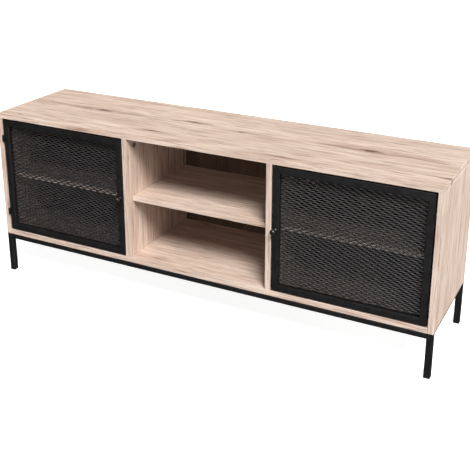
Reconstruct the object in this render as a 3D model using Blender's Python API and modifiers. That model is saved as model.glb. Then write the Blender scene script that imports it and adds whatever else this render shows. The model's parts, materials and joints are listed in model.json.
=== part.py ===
"""TV stand with two mesh doors: a wood-effect board carcass on a black steel tube base.

Metres, +Z up, the front faces -Y. The origin is on the floor, at the centre of the whole
object's box, whose front is the tip of the knobs.
"""
import math

import bmesh
import bpy
from mathutils import Matrix, Vector

# ---------------------------------------------------------------- driving dimensions
WIDTH = 1.400                 # carcass, outside of the side panels
BOARD_DEPTH = 0.337           # boards, front edge to back edge
CARCASS_HEIGHT = 0.404        # underside of the bottom panel to the top
BASE_HEIGHT = 0.131           # floor to the underside of the carcass
BOARD = 0.016                 # thickness of panels, top, bottom and dividers
SHELF_BOARD = 0.015           # thickness of the shelves
BACK_SHEET = 0.003            # thickness of the back panel
SHELF_TOP = 0.206             # shelf surface above the underside of the carcass
MIDDLE_SHELF_RECESS = 0.023   # shelf front edge behind the carcass front
DOOR_SHELF_RECESS = 0.032
GAP = 0.0003                  # clearance between touching pieces
EDGE = 0.0006                 # eased edge of the boards

LEG_TUBE = 0.018
RAIL_TUBE = 0.016
SIDE_RAIL_TUBE = 0.010        # width of the side rails, centred on the legs
TUBE_WALL = 0.0015
GLIDE_FLANGE = 0.003
GLIDE_PLUG = 0.012
RAIL_SCREW_SPREAD = 0.46      # rail screws either side of the middle one
RAIL_SCREW_ACCESS = 0.0045    # radius of the hole under each rail
RAIL_SCREW_HOLE = 0.0023
RAIL_SCREW_BORE = 0.0021
RAIL_SCREW_IN_PANEL = 0.0115

DOOR_SIDE_GAP = 0.003         # at the free edge
HINGE_GAP = 0.004             # at the hinged edge
DOOR_TOP_GAP = 0.004
DOOR_BOTTOM_GAP = 0.003
DOOR_FACE = 0.020             # width of the door frame's tubes
DOOR_TUBE_DEPTH = 0.015
DOOR_WALL = 0.0012
MESH_SHEET = 0.001
MESH_OVERLAP = 0.005          # of the mesh onto the back of the frame
KNOB_OUT = 0.022              # how far a knob stands out of the door
KNOB_RADIUS = 0.008
KNOB_EASE = 0.003             # rounding of the knob's crown
KNOB_HEAD = 0.009             # depth of the wide part, crown included
KNOB_NECK_RADIUS = 0.0042
KNOB_FOOT_RADIUS = 0.0058
KNOB_SCREW_TIP = 0.009        # how far the screw reaches into the knob
KNOB_THREAD_RADIUS = 0.0021
KNOB_THREAD_DEPTH = 0.0095

HINGE_INSET = 0.060           # hinge centre from the door's top and bottom
HINGE_HEIGHT = 0.020
KNUCKLE_RADIUS = 0.0025
LEAF = 0.001
LEAF_DEPTH = 0.013            # leaf behind the carcass front
PIN_RADIUS = 0.0011
PIN_HOLE = 0.0014

CAM_RADIUS = 0.0072
CAM_DEPTH = 0.0118
CAM_SETBACK = 0.0285          # cam centre from the joint
BOLT_BORE_RADIUS = 0.0038
BOLT_THREAD_BORE = 0.0031
BOLT_IN_FACE = 0.0111         # depth of a bolt's thread in a panel's face
CAM_EASE = 0.0004             # eased rim of a cam
CAM_SLOT = (0.008, 0.0012, 0.0016)  # length, width and depth of the cross in a cam
FRONT_FIXING = 0.041          # fixings behind the front edge
BACK_FIXING = 0.045           # fixings before the back edge
DOWEL_STEP = 0.032            # dowel beside its cam
DOWEL_BORE_RADIUS = 0.0041
DOWEL_LENGTH = 0.030
DOWEL_IN_FACE = 0.0116        # part of a dowel inside a panel's face
SCREW_BORE_RADIUS = 0.0027    # for the screws that hold the dividers' feet
SCREW_MOUTH_RADIUS = 0.0054   # countersink under the bottom panel
SCREW_MOUTH_DEPTH = 0.0034
SCREW_IN_DIVIDER = 0.025
SHELF_PIN_RADIUS = 0.0025
SHELF_PIN_LENGTH = 0.014
SHELF_PIN_BORE = 0.0068       # depth of a pin's hole
SHELF_PIN_FROM_EDGE = 0.040
SHELF_PIN_EASE = 0.0008
BACK_MARGIN = 0.001           # back panel inside the carcass outline
NAIL_BORE = 0.0011
NAIL_LENGTH = 0.016
LEAF_SCREW_BACK = 0.008       # hinge screws behind the carcass front
LEAF_SCREW_STEP = 0.0055      # above and below the hinge's centre
LEAF_SCREW_BORE = 0.0014
LEAF_SCREW_DEPTH = 0.0105
PIN_HEAD_RADIUS = 0.0019
PIN_HEAD = 0.0006             # thickness of a hinge pin's heads
CATCH_BODY = Vector((0.044, 0.014, 0.0117))
CATCH_MAGNET = Vector((0.026, 0.0102, 0.0064))
CATCH_REACH = 0.0012          # magnet and pole plates in front of the body
CATCH_FROM_DIVIDER = 0.035
CATCH_SCREW_STEP = 0.0175
CATCH_SCREW_BORE = 0.0016
CATCH_SCREW_DEPTH = 0.0095
CATCH_EASE = 0.0008

# ---------------------------------------------------------------- derived planes
TOTAL_DEPTH = KNOB_OUT + BOARD_DEPTH + GAP + BACK_SHEET
FRONT = -TOTAL_DEPTH / 2 + KNOB_OUT
BACK = FRONT + BOARD_DEPTH
UNDERSIDE = BASE_HEIGHT
FLOOR_OF_BAY = UNDERSIDE + BOARD
TOP = UNDERSIDE + CARCASS_HEIGHT
CEILING = TOP - BOARD
SIDE_FACE = WIDTH / 2 - BOARD                       # inner face of a side panel
BAY_WIDTH = (WIDTH - 4 * BOARD) / 3
DIVIDER_X = (BAY_WIDTH + BOARD) / 2
NICHE_FACE = DIVIDER_X - BOARD / 2                  # divider face toward the niche
BAY_FACE = DIVIDER_X + BOARD / 2                    # divider face toward a door bay
SHELF_UNDER = UNDERSIDE + SHELF_TOP - SHELF_BOARD

DOOR_BOTTOM = FLOOR_OF_BAY + DOOR_BOTTOM_GAP
DOOR_TOP = CEILING - DOOR_TOP_GAP
DOOR_HEIGHT = DOOR_TOP - DOOR_BOTTOM
DOOR_WIDTH = BAY_WIDTH - DOOR_SIDE_GAP - HINGE_GAP
DOOR_MID = (DOOR_TOP + DOOR_BOTTOM) / 2
DOOR_FREE_EDGE = BAY_FACE + DOOR_SIDE_GAP
AXIS_X = SIDE_FACE - HINGE_GAP / 2                  # hinge axis, in the gap
AXIS_Y = FRONT - KNUCKLE_RADIUS                     # just proud of the front
HINGE_HEIGHTS = {"lower": DOOR_BOTTOM + HINGE_INSET, "upper": DOOR_TOP - HINGE_INSET}
FIXING_ROWS = (FRONT + FRONT_FIXING, BACK - BACK_FIXING)

SIDES = {"left": -1, "right": 1}
DOWN, UP = Vector((0, 0, -1)), Vector((0, 0, 1))


# ---------------------------------------------------------------- scene helpers
def clear_scene():
    """Removes every object and collection of the open file."""
    for obj in list(bpy.data.objects):
        bpy.data.objects.remove(obj, do_unlink=True)
    for group in list(bpy.data.collections):
        bpy.data.collections.remove(group)


def collection(name):
    made = bpy.data.collections.new(name)
    bpy.context.scene.collection.children.link(made)
    return made


def finish_material(name, colour, roughness, metallic):
    made = bpy.data.materials.new(name)
    made.use_nodes = True
    shader = made.node_tree.nodes["Principled BSDF"]
    shader.inputs["Base Color"].default_value = (*colour, 1)
    shader.inputs["Roughness"].default_value = roughness
    shader.inputs["Metallic"].default_value = metallic
    return made


clear_scene()
PARTS = collection("tv_stand_with_doors")
CUTTERS = collection("cutters")
OAK = finish_material("oak_effect_board", (0.72, 0.58, 0.48), 0.55, 0.0)
BLACK_STEEL = finish_material("black_powder_coat", (0.018, 0.018, 0.020), 0.45, 0.3)
ZINC = finish_material("zinc_fixing", (0.55, 0.55, 0.56), 0.35, 1.0)
BLACK_PLASTIC = finish_material("black_plastic", (0.02, 0.02, 0.02), 0.5, 0.0)
FERRITE = finish_material("ferrite_magnet", (0.06, 0.06, 0.06), 0.6, 0.2)


def link(name, mesh, material, location=(0, 0, 0), rotation=(0, 0, 0)):
    """Puts a mesh into the parts collection as a named object."""
    obj = bpy.data.objects.new(name, mesh)
    obj.location = location
    obj.rotation_euler = rotation
    mesh.materials.clear()
    mesh.materials.append(material)
    PARTS.objects.link(obj)
    return obj


def evaluated_mesh(obj, weld=0.00001):
    """The object's mesh with its modifiers applied, and the object removed."""
    CUTTERS.objects.link(obj)
    depsgraph = bpy.context.evaluated_depsgraph_get()
    mesh = bpy.data.meshes.new_from_object(obj.evaluated_get(depsgraph))
    bpy.data.objects.remove(obj, do_unlink=True)
    bm = bmesh.new()
    bm.from_mesh(mesh)
    bmesh.ops.remove_doubles(bm, verts=bm.verts, dist=weld)
    bm.to_mesh(mesh)
    bm.free()
    return mesh


# ---------------------------------------------------------------- mesh makers
def box_mesh(size, centre=(0, 0, 0)):
    bm = bmesh.new()
    bmesh.ops.create_cube(bm, size=1)
    bmesh.ops.scale(bm, vec=Vector(size), verts=bm.verts)
    bmesh.ops.translate(bm, vec=Vector(centre), verts=bm.verts)
    mesh = bpy.data.meshes.new("box")
    bm.to_mesh(mesh)
    bm.free()
    return mesh


def turned_mesh(profile, sides):
    """Turns (radius, height) points, listed from the top down, about Z."""
    mesh = bpy.data.meshes.new("profile")
    points = [(radius, 0, height) for radius, height in profile]
    mesh.from_pydata(points, [(i, i + 1) for i in range(len(points) - 1)], [])
    obj = bpy.data.objects.new("profile", mesh)
    screw = obj.modifiers.new("turn", "SCREW")
    screw.steps = screw.render_steps = sides
    screw.use_merge_vertices = True
    screw.merge_threshold = 0.00001
    screw.use_smooth_shade = False
    turned = evaluated_mesh(obj)
    turned.shade_smooth()
    turned.set_sharp_from_angle(angle=math.radians(35))
    return turned


def outline_mesh(outlines, height):
    """Extrudes flat outlines along Z by height; an outline inside another is a hole."""
    curve = bpy.data.curves.new("outline", "CURVE")
    curve.dimensions = "2D"
    curve.fill_mode = "BOTH"
    curve.extrude = height / 2
    for outline in outlines:
        spline = curve.splines.new("POLY")
        spline.points.add(len(outline) - 1)
        for point, (x, y) in zip(spline.points, outline):
            point.co = (x, y, 0, 1)
        spline.use_cyclic_u = True
    return evaluated_mesh(bpy.data.objects.new("outline", curve))


def arc(radius, start, end, steps, centre=(0, 0)):
    """Points on an arc, angles in degrees."""
    angles = [math.radians(start + (end - start) * i / steps) for i in range(steps + 1)]
    return [(centre[0] + radius * math.cos(a), centre[1] + radius * math.sin(a)) for a in angles]


def rounded_rectangle(width, depth, radius, steps=2):
    points = []
    for quarter in range(4):
        across = 1 if quarter in (0, 3) else -1
        along = 1 if quarter in (0, 1) else -1
        centre = (across * (width / 2 - radius), along * (depth / 2 - radius))
        points += arc(radius, 90 * quarter, 90 * quarter + 90, steps, centre)
    return points


def tube_mesh(width, depth, wall, length, mitred=False):
    """Rectangular tube along Z. A mitred tube is longest at its +X side."""
    outer = rounded_rectangle(width, depth, 1.5 * wall)
    inner = rounded_rectangle(width - 2 * wall, depth - 2 * wall, 0.5 * wall)
    mesh = outline_mesh([outer, inner], length)
    if mitred:
        for vertex in mesh.vertices:
            slope = width / 2 - vertex.co.x + GAP * math.sqrt(0.5)
            vertex.co.z -= math.copysign(slope, vertex.co.z)
    return mesh


def cylinder_mesh(radius, length, sides):
    """Cylinder along Z, centred."""
    bm = bmesh.new()
    bmesh.ops.create_cone(bm, cap_ends=True, segments=sides, radius1=radius, radius2=radius,
                          depth=length)
    mesh = bpy.data.meshes.new("cylinder")
    bm.to_mesh(mesh)
    bm.free()
    return mesh


def pointing(position, direction, side=None):
    """A placement whose +Z runs along direction, and +Y along side where it matters."""
    z = Vector(direction).normalized()
    if side is None:
        side = (0, 1, 0) if abs(z.y) < 0.9 else (1, 0, 0)
    y = Vector(side).normalized()
    x = y.cross(z)
    rotation = Matrix((x, y, z)).transposed().to_4x4()
    return Matrix.Translation(Vector(position)) @ rotation


def joined(mesh, placements):
    """One mesh holding a copy of the given mesh at each placement."""
    bm = bmesh.new()
    for placement in placements:
        copy = mesh.copy()
        copy.transform(placement)
        bm.from_mesh(copy)
        bpy.data.meshes.remove(copy)
    made = bpy.data.meshes.new("group")
    bm.to_mesh(made)
    bm.free()
    return made


def place(name, mesh, material, placement):
    """Puts one copy of a repeated piece where a placement says."""
    obj = link(name, mesh, material)
    obj.matrix_world = placement
    return obj


# ---------------------------------------------------------------- cutting
OVERSHOOT = 0.001             # how far a cutter starts outside the surface it enters


def subtract(target, cutter_mesh, label):
    """Cuts the mesh, given in world coordinates, out of the target."""
    cutter = bpy.data.objects.new(f"{target.name}_{label}_cutter", cutter_mesh)
    cutter.hide_render = True
    cutter.display_type = "WIRE"
    CUTTERS.objects.link(cutter)
    boolean = target.modifiers.new(label, "BOOLEAN")
    boolean.operation = "DIFFERENCE"
    boolean.solver = "EXACT"
    boolean.object = cutter


def drill(target, label, positions, direction, radius, depth, sides=12):
    """Blind holes: each starts at a surface position and runs along direction."""
    way = Vector(direction).normalized()
    length = depth + OVERSHOOT
    hole = cylinder_mesh(radius, length, sides)
    starts = [Vector(p) + way * (length / 2 - OVERSHOOT) for p in positions]
    subtract(target, joined(hole, [pointing(p, way) for p in starts]), label)


# ---------------------------------------------------------------- boards
def board(name, low, high, edge=EDGE):
    """A board between two corners, with eased edges."""
    low, high = Vector(low), Vector(high)
    obj = link(name, box_mesh(high - low), OAK, (low + high) / 2)
    bevel = obj.modifiers.new("eased_edges", "BEVEL")
    bevel.width = edge
    bevel.segments = 1
    bevel.limit_method = "ANGLE"
    return obj


def make_boards():
    half = WIDTH / 2
    boards = {
        "top_panel": board("top_panel", (-half, FRONT, CEILING), (half, BACK, TOP)),
        "bottom_panel": board("bottom_panel", (-SIDE_FACE + GAP, FRONT, UNDERSIDE),
                              (SIDE_FACE - GAP, BACK, FLOOR_OF_BAY)),
        "middle_shelf": board("middle_shelf",
                              (-NICHE_FACE + GAP, FRONT + MIDDLE_SHELF_RECESS, SHELF_UNDER),
                              (NICHE_FACE - GAP, BACK - GAP, SHELF_UNDER + SHELF_BOARD)),
    }
    for side, sign in SIDES.items():
        inner, outer = sorted((sign * SIDE_FACE, sign * half))
        boards[f"{side}_side_panel"] = board(
            f"{side}_side_panel", (inner, FRONT, UNDERSIDE), (outer, BACK, CEILING - GAP))
        middle = sign * DIVIDER_X
        boards[f"{side}_divider"] = board(
            f"{side}_divider", (middle - BOARD / 2, FRONT, FLOOR_OF_BAY + GAP),
            (middle + BOARD / 2, BACK, CEILING - GAP))
        near, far = sorted((sign * (BAY_FACE + GAP), sign * (SIDE_FACE - GAP)))
        boards[f"{side}_shelf"] = board(
            f"{side}_shelf", (near, FRONT + DOOR_SHELF_RECESS, SHELF_UNDER),
            (far, BACK - GAP, SHELF_UNDER + SHELF_BOARD))
    boards["back_panel"] = board(
        "back_panel", (-half + BACK_MARGIN, BACK + GAP, UNDERSIDE + BACK_MARGIN),
        (half - BACK_MARGIN, BACK + GAP + BACK_SHEET, TOP - BACK_MARGIN), EDGE / 2)
    return boards


# ---------------------------------------------------------------- carcass fixings
def cam_mesh():
    """A cam: its face at z = 0, its body below, open toward +Y for the bolt's head."""
    slot_length, slot_width, slot_depth = CAM_SLOT
    rim = [(0, 0), (CAM_RADIUS - CAM_EASE, 0), (CAM_RADIUS, -CAM_EASE),
           (CAM_RADIUS, -CAM_DEPTH), (0, -CAM_DEPTH)]
    cam = bpy.data.objects.new("cam", turned_mesh(rim, 20))
    bore_length = CAM_DEPTH       # from behind the centre to outside the rim
    bore = cylinder_mesh(BOLT_BORE_RADIUS, bore_length, 12)
    bore.transform(pointing((0, bore_length / 4, -BOARD / 2), (0, 1, 0)))
    subtract(cam, bore, "bolt_bore")
    subtract(cam, box_mesh((slot_length, slot_width, slot_depth)), "slot_across")
    subtract(cam, box_mesh((slot_width, slot_length, slot_depth)), "slot_along")
    return evaluated_mesh(cam, 0.000001)


def drill_cam_joints(edge_board, face_board, label, joints):
    """Drills one row of cam joints and returns where its cams go.

    Each joint is (cam centre on the board's face, the face's outward normal, the way from
    the cam to the joint).
    """
    cams, bores, threads = [], [], []
    for centre, normal, way in joints:
        centre, normal, way = Vector(centre), Vector(normal), Vector(way)
        cams.append(pointing(centre - normal * GAP, normal, way))
        bores.append(centre)
        threads.append(centre - normal * BOARD / 2 + way * CAM_SETBACK)
    drill(edge_board, f"{label}_cam_bores", bores, -normal, CAM_RADIUS + GAP,
          CAM_DEPTH + 2 * GAP, 20)
    drill(edge_board, f"{label}_bolt_bores", threads, -way, BOLT_BORE_RADIUS,
          CAM_SETBACK - CAM_RADIUS / 2)
    drill(face_board, f"{label}_threads", threads, way, BOLT_THREAD_BORE, BOLT_IN_FACE)
    return cams


def drill_dowel_joints(edge_board, face_board, label, positions, way):
    """Drills dowel holes both sides of a joint."""
    way = Vector(way)
    drill(edge_board, f"{label}_dowel_holes", positions, -way, DOWEL_BORE_RADIUS,
          DOWEL_LENGTH - DOWEL_IN_FACE)
    drill(face_board, f"{label}_dowel_ends", positions, way, DOWEL_BORE_RADIUS,
          DOWEL_IN_FACE)


def make_carcass_joints(boards):
    """Bores for every cam, dowel and screw, and the cams that the middle niche shows."""
    top, bottom = boards["top_panel"], boards["bottom_panel"]
    dowel_rows = (FIXING_ROWS[0] + DOWEL_STEP, FIXING_ROWS[1] - DOWEL_STEP)
    cam = cam_mesh()
    for side, sign in SIDES.items():
        side_panel, divider = boards[f"{side}_side_panel"], boards[f"{side}_divider"]
        uprights = ((side_panel, SIDE_FACE, SIDE_FACE + BOARD / 2),
                    (divider, NICHE_FACE, DIVIDER_X))
        inward = Vector((-sign, 0, 0))
        for upright, face, middle in uprights:
            joints = [((sign * face, y, CEILING - CAM_SETBACK), inward, UP)
                      for y in FIXING_ROWS]
            cams = drill_cam_joints(upright, top, f"{upright.name}_top", joints)
            spots = [(sign * middle, y, CEILING) for y in dowel_rows]
            drill_dowel_joints(upright, top, f"{upright.name}_top", spots, UP)
        for row, placement in zip(("front", "back"), cams):
            place(f"{side}_divider_{row}_cam", cam, ZINC, placement)
        joints = [((sign * (SIDE_FACE - CAM_SETBACK), y, UNDERSIDE), DOWN, -inward)
                  for y in FIXING_ROWS]
        drill_cam_joints(bottom, side_panel, f"{side}_bottom", joints)
        spots = [(sign * SIDE_FACE, y, UNDERSIDE + BOARD / 2) for y in dowel_rows]
        drill_dowel_joints(bottom, side_panel, f"{side}_bottom", spots, -inward)
        spots = [(sign * DIVIDER_X, (FRONT + BACK) / 2, FLOOR_OF_BAY)]
        drill_dowel_joints(divider, bottom, f"{side}_foot", spots, DOWN)
        spots = [(sign * DIVIDER_X, y, FLOOR_OF_BAY) for y in FIXING_ROWS]
        drill(divider, "foot_screws", spots, UP, SCREW_BORE_RADIUS, SCREW_IN_DIVIDER)
        sink_divider_screws(bottom, f"{side}_foot_screws", spots)


def sink_divider_screws(bottom, label, spots):
    """Countersunk holes up through the bottom panel, under a divider."""
    profile = [(0, OVERSHOOT), (SCREW_BORE_RADIUS, OVERSHOOT),
               (SCREW_BORE_RADIUS, SCREW_MOUTH_DEPTH - BOARD), (SCREW_MOUTH_RADIUS, -BOARD),
               (SCREW_MOUTH_RADIUS, -BOARD - OVERSHOOT), (0, -BOARD - OVERSHOOT)]
    placements = [Matrix.Translation(p) for p in spots]
    subtract(bottom, joined(turned_mesh(profile, 12), placements), label)


def make_shelf_pins(boards):
    """Holes for four steel pins under each shelf, and the middle shelf's pins."""
    ease, half = SHELF_PIN_EASE, SHELF_PIN_LENGTH / 2
    profile = [(0, half), (SHELF_PIN_RADIUS - ease, half), (SHELF_PIN_RADIUS, half - ease),
               (SHELF_PIN_RADIUS, ease - half), (SHELF_PIN_RADIUS - ease, -half), (0, -half)]
    pin = turned_mesh(profile, 16)
    height = SHELF_UNDER - SHELF_PIN_RADIUS - GAP
    for side, sign in SIDES.items():
        faces = (
            ("side_panel", SIDE_FACE, 1, DOOR_SHELF_RECESS),
            ("divider", BAY_FACE, -1, DOOR_SHELF_RECESS),
            ("divider", NICHE_FACE, 1, MIDDLE_SHELF_RECESS),
        )
        for name, face, into, recess in faces:
            rows = {"front": FRONT + recess + SHELF_PIN_FROM_EDGE,
                    "back": BACK - SHELF_PIN_FROM_EDGE}
            spots = [(sign * face, y, height) for y in rows.values()]
            label = "niche_pins" if face == NICHE_FACE else "bay_pins"
            drill(boards[f"{side}_{name}"], label, spots, (sign * into, 0, 0),
                  SHELF_PIN_RADIUS + GAP, SHELF_PIN_BORE)
            if face != NICHE_FACE:
                continue
            middle = sign * (face + SHELF_PIN_BORE - 2 * GAP - half)
            for row, y in rows.items():
                place(f"middle_shelf_{row}_{side}_pin", pin, ZINC,
                      pointing((middle, y, height), (1, 0, 0)))


def drill_nail_holes(boards):
    """Nail holes through the back panel into the edges of the boards."""
    into = (0, -1, 0)
    heights = [UNDERSIDE + CARCASS_HEIGHT * share for share in (0.25, 0.50, 0.75)]
    middles = [bay * (BAY_WIDTH + BOARD) for bay in (-1, 0, 1)]
    edges = {
        "top_panel": [(x, TOP - BOARD / 2) for x in middles],
        "bottom_panel": [(x, UNDERSIDE + BOARD / 2) for x in middles],
    }
    for side, sign in SIDES.items():
        edges[f"{side}_side_panel"] = [(sign * (SIDE_FACE + BOARD / 2), z) for z in heights]
        edges[f"{side}_divider"] = [(sign * DIVIDER_X, z) for z in heights]
    through = []
    for name, spots in edges.items():
        drill(boards[name], "nails", [(x, BACK, z) for x, z in spots], into, NAIL_BORE,
              NAIL_LENGTH - BACK_SHEET, 6)
        through += [(x, BACK + GAP + BACK_SHEET, z) for x, z in spots]
    drill(boards["back_panel"], "nails", through, into, NAIL_BORE, BACK_SHEET + OVERSHOOT, 6)


# ---------------------------------------------------------------- steel base
def glide_mesh():
    """A square plastic glide: a flange on the floor and a plug above it."""
    flange, plug = LEG_TUBE - 2 * GAP, LEG_TUBE - 2 * TUBE_WALL - 3 * GAP
    bm = bmesh.new()
    bmesh.ops.create_cube(bm, size=1)
    bmesh.ops.scale(bm, vec=(flange, flange, GLIDE_FLANGE), verts=bm.verts)
    bmesh.ops.translate(bm, vec=(0, 0, GLIDE_FLANGE / 2), verts=bm.verts)
    top = max(bm.faces, key=lambda face: face.calc_center_median().z)
    bmesh.ops.inset_individual(bm, faces=[top], thickness=(flange - plug) / 2,
                               use_even_offset=True)
    raised = bmesh.ops.extrude_discrete_faces(bm, faces=[top])["faces"][0]
    bmesh.ops.translate(bm, vec=(0, 0, GLIDE_PLUG), verts=raised.verts)
    mesh = bpy.data.meshes.new("glide")
    bm.to_mesh(mesh)
    bm.free()
    return mesh


def make_base(bottom):
    """Four legs flush with the carcass, rails between them, glides and rail screws."""
    leg_x = WIDTH / 2 - LEG_TUBE / 2
    rows = {"front": FRONT + LEG_TUBE / 2, "back": BACK - LEG_TUBE / 2}
    leg_top, leg_foot = UNDERSIDE - GAP, GLIDE_FLANGE + GAP
    rail_z = UNDERSIDE - GAP - RAIL_TUBE / 2
    for row, y in rows.items():
        for side, sign in SIDES.items():
            tube = tube_mesh(LEG_TUBE, LEG_TUBE, TUBE_WALL, leg_top - leg_foot)
            link(f"{row}_{side}_leg", tube, BLACK_STEEL,
                 (sign * leg_x, y, (leg_top + leg_foot) / 2))
            link(f"{row}_{side}_glide", glide_mesh(), BLACK_PLASTIC, (sign * leg_x, y, 0))
        length = WIDTH - 2 * LEG_TUBE - 2 * GAP
        outer = FRONT + RAIL_TUBE / 2 if row == "front" else BACK - RAIL_TUBE / 2
        rail = link(f"{row}_rail", tube_mesh(RAIL_TUBE, RAIL_TUBE, TUBE_WALL, length),
                    BLACK_STEEL, (0, outer, rail_z), (0, math.pi / 2, 0))
        spots = [(step * RAIL_SCREW_SPREAD, outer) for step in (-1, 0, 1)]
        through_wall = TUBE_WALL + 2 * OVERSHOOT
        drill(rail, "screw_access", [(x, y, rail_z - RAIL_TUBE / 2) for x, y in spots], UP,
              RAIL_SCREW_ACCESS, through_wall)
        drill(rail, "screw_holes", [(x, y, rail_z + RAIL_TUBE / 2) for x, y in spots], DOWN,
              RAIL_SCREW_HOLE, through_wall)
        drill(bottom, f"{row}_rail_screws", [(x, y, UNDERSIDE) for x, y in spots], UP,
              RAIL_SCREW_BORE, RAIL_SCREW_IN_PANEL)
    for side, sign in SIDES.items():
        length = rows["back"] - rows["front"] - LEG_TUBE - 2 * GAP
        tube = tube_mesh(SIDE_RAIL_TUBE, RAIL_TUBE, TUBE_WALL, length)
        link(f"{side}_rail", tube, BLACK_STEEL,
             (sign * leg_x, (rows["front"] + rows["back"]) / 2, rail_z), (math.pi / 2, 0, 0))


# ---------------------------------------------------------------- doors
def knob_mesh():
    """A round knob along -Y after turning: its foot at z = 0, its crown at KNOB_OUT."""
    crown = arc(KNOB_EASE, 90, 0, 3, (KNOB_RADIUS - KNOB_EASE, KNOB_OUT - KNOB_EASE))
    head_end = KNOB_OUT - KNOB_HEAD
    shoulder = ((KNOB_RADIUS + KNOB_NECK_RADIUS) / 2, head_end - KNOB_EASE / 2)
    waist = [(KNOB_RADIUS, head_end), shoulder,
             (KNOB_NECK_RADIUS, head_end - 1.5 * KNOB_EASE), (KNOB_NECK_RADIUS, KNOB_EASE),
             (KNOB_FOOT_RADIUS, KNOB_EASE / 2), (KNOB_FOOT_RADIUS, GAP)]
    return turned_mesh([(0, KNOB_OUT)] + crown + waist + [(0, GAP)], 24)


def knob_screw_mesh():
    """A machine screw along -Y after turning, its head behind the stile."""
    shank, head, pan = 0.0018, 0.0036, 0.0022
    tip, seat, ease = KNOB_SCREW_TIP, -DOOR_TUBE_DEPTH - GAP, GAP
    profile = [(0, tip), (shank - ease, tip), (shank, tip - ease), (shank, seat),
               (head, seat), (head, seat - pan * 0.6), (head * 0.6, seat - pan),
               (0, seat - pan)]
    return turned_mesh(profile, 12)


def leaf_mesh(plate_side, knuckle_thirds):
    """A hinge leaf about its pin's axis: a plate rolled into knuckles.

    plate_side is +1 where the plate lies on the +X side of the gap. knuckle_thirds are the
    thirds of the height, -1, 0 or 1, that keep a knuckle.
    """
    far = HINGE_GAP / 2 - GAP
    near = far - LEAF
    end = LEAF_DEPTH + KNUCKLE_RADIUS
    start_angle = math.degrees(math.acos(near / KNUCKLE_RADIUS))
    end_angle = math.degrees(math.acos(far / KNUCKLE_RADIUS)) + 360
    outline = [(near, end)] + arc(KNUCKLE_RADIUS, start_angle, end_angle, 20) + [(far, end)]
    hole = arc(PIN_HOLE, 0, 330, 11)
    flat = [[(plate_side * x, y) for x, y in points] for points in (outline, hole)]
    name = "door_leaf" if knuckle_thirds == (0,) else "cabinet_leaf"
    leaf = bpy.data.objects.new(name, outline_mesh(flat, HINGE_HEIGHT))
    sixth = HINGE_HEIGHT / 6
    spans = {
        -1: (-3 * sixth - OVERSHOOT, GAP / 2 - sixth),
        0: (-sixth - GAP / 2, sixth + GAP / 2),
        1: (sixth - GAP / 2, 3 * sixth + OVERSHOOT),
    }
    reach = KNUCKLE_RADIUS + OVERSHOOT
    for third, (low, high) in spans.items():
        if third not in knuckle_thirds:
            notch = box_mesh((2 * reach, 2 * reach, high - low), (0, 0, (low + high) / 2))
            subtract(leaf, notch, f"{name}_{plate_side}_notch_{third}")
    return evaluated_mesh(leaf, 0.000001)


def hinge_pin_mesh():
    """A hinge pin with a thin head at each end."""
    half, head, thick = HINGE_HEIGHT / 2 + GAP, PIN_HEAD_RADIUS, PIN_HEAD
    profile = [(0, half + thick), (head * 0.7, half + thick), (head, half + thick * 0.4),
               (head, half), (PIN_RADIUS, half), (PIN_RADIUS, -half), (head, -half),
               (head, -half - thick * 0.4), (head * 0.7, -half - thick), (0, -half - thick)]
    return turned_mesh(profile, 16)


def make_hinges(side, sign, side_panel):
    """The cabinet's leaves and pins of one door's two hinges, and their screw holes."""
    leaf, pin = leaf_mesh(sign, (-1, 1)), hinge_pin_mesh()
    leaf_face = sign * (AXIS_X + HINGE_GAP / 2 - GAP - LEAF)
    into = (sign, 0, 0)
    for level, z in HINGE_HEIGHTS.items():
        at_axis = Matrix.Translation((sign * AXIS_X, AXIS_Y, z))
        cabinet_leaf = place(f"{side}_{level}_cabinet_leaf", leaf.copy(), BLACK_STEEL, at_axis)
        place(f"{side}_{level}_hinge_pin", pin, BLACK_STEEL, at_axis)
        spots = [(FRONT + LEAF_SCREW_BACK, z + way * LEAF_SCREW_STEP) for way in (-1, 1)]
        drill(cabinet_leaf, "screw_holes", [(leaf_face, *spot) for spot in spots], into,
              LEAF_SCREW_BORE, LEAF + OVERSHOOT, 10)
        drill(side_panel, f"{level}_hinge_screws",
              [(sign * SIDE_FACE, *spot) for spot in spots], into, LEAF_SCREW_BORE,
              LEAF_SCREW_DEPTH, 10)


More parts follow.
